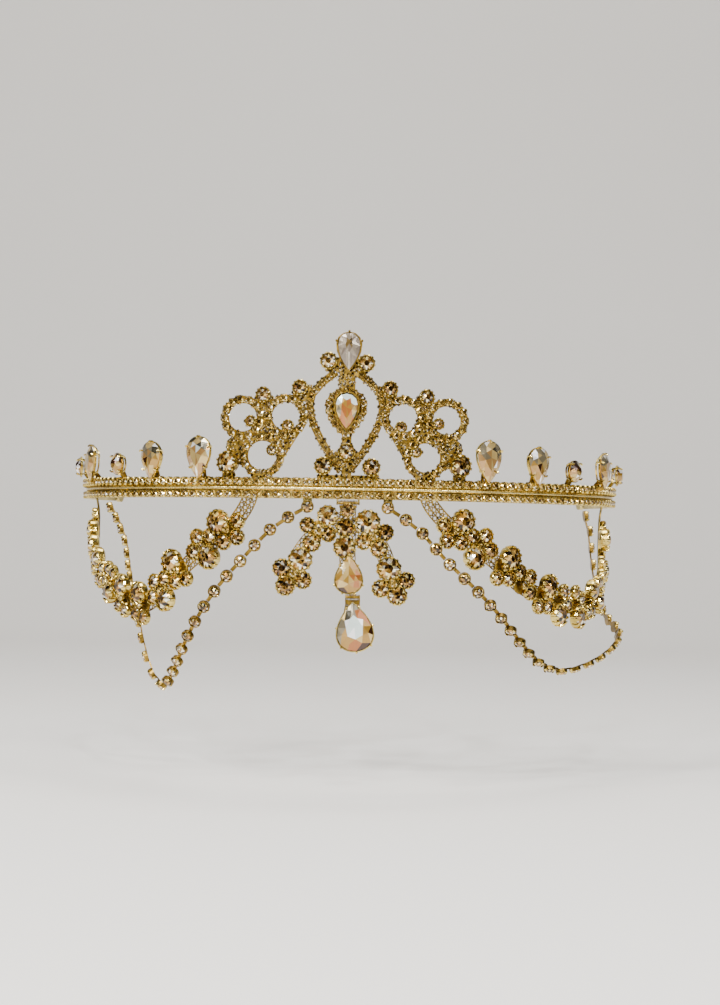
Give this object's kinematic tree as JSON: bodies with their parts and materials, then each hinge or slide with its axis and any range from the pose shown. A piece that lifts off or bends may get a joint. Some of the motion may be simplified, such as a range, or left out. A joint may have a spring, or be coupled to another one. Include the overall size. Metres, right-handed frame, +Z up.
{
  "type": "engagement tiara",
  "caption": "Stone-set tiara with a pierced pointed crest, upright teardrop stones, two cluster garlands, two cup chains and a hinged centre pendant.",
  "frame": {"origin": "centre of the head opening, level with the lower edge of the band", "axes": "+X to the right as seen from the front, -Y out of the front, +Z up"},
  "size_m": [0.1581, 0.1089, 0.0969],
  "materials": {
    "gold_metal": "polished yellow gold plating",
    "upright_stones": "foil-backed cut glass, champagne",
    "round_stones": "foil-backed cut glass, champagne",
    "drop_stones": "foil-backed cut glass, champagne and clear",
    "opal_stone": "foil-backed cut glass, opal white",
    "peach_stone": "foil-backed cut glass, peach"
  },
  "bodies": {
    "tiara": {"band": "gold_metal", "crest_frame": "gold_metal", "crest_top_stone": "opal_stone", "crest_center_stone": "peach_stone", "crest_round_stones": "round_stones", "side_stone_l1": "upright_stones", "side_stone_l2": "upright_stones", "side_stone_l3": "upright_stones", "side_stone_l4": "upright_stones", "side_stone_l5": "upright_stones", "side_stone_r1": "upright_stones", "side_stone_r2": "upright_stones", "side_stone_r3": "upright_stones", "side_stone_r4": "upright_stones", "side_stone_r5": "upright_stones", "garland_frame_l": "gold_metal", "garland_frame_r": "gold_metal", "garland_stones_l": "round_stones", "garland_stones_r": "round_stones", "chain_links_l": "gold_metal", "chain_links_r": "gold_metal", "chain_stones_l": "round_stones", "chain_stones_r": "round_stones"},
    "pendant": {"pendant_frame": "gold_metal", "pendant_stones": "round_stones", "upper_drop_stone": "drop_stones"},
    "lower_drop": {"lower_drop_setting": "gold_metal", "lower_drop_stone": "drop_stones"}
  },
  "joints": [
    {"name": "pendant_swing", "type": "hinge", "parent": "tiara", "child": "pendant", "pos_m": [0, -0.07625, -0.00095], "axis": [1, 0, 0], "range_deg": [-35, 50]},
    {"name": "lower_drop_swing", "type": "hinge", "parent": "pendant", "child": "lower_drop", "pos_m": [0.0016, -0.07755, -0.0254], "axis": [1, 0, 0], "range_deg": [-30, 40]}
  ]
}
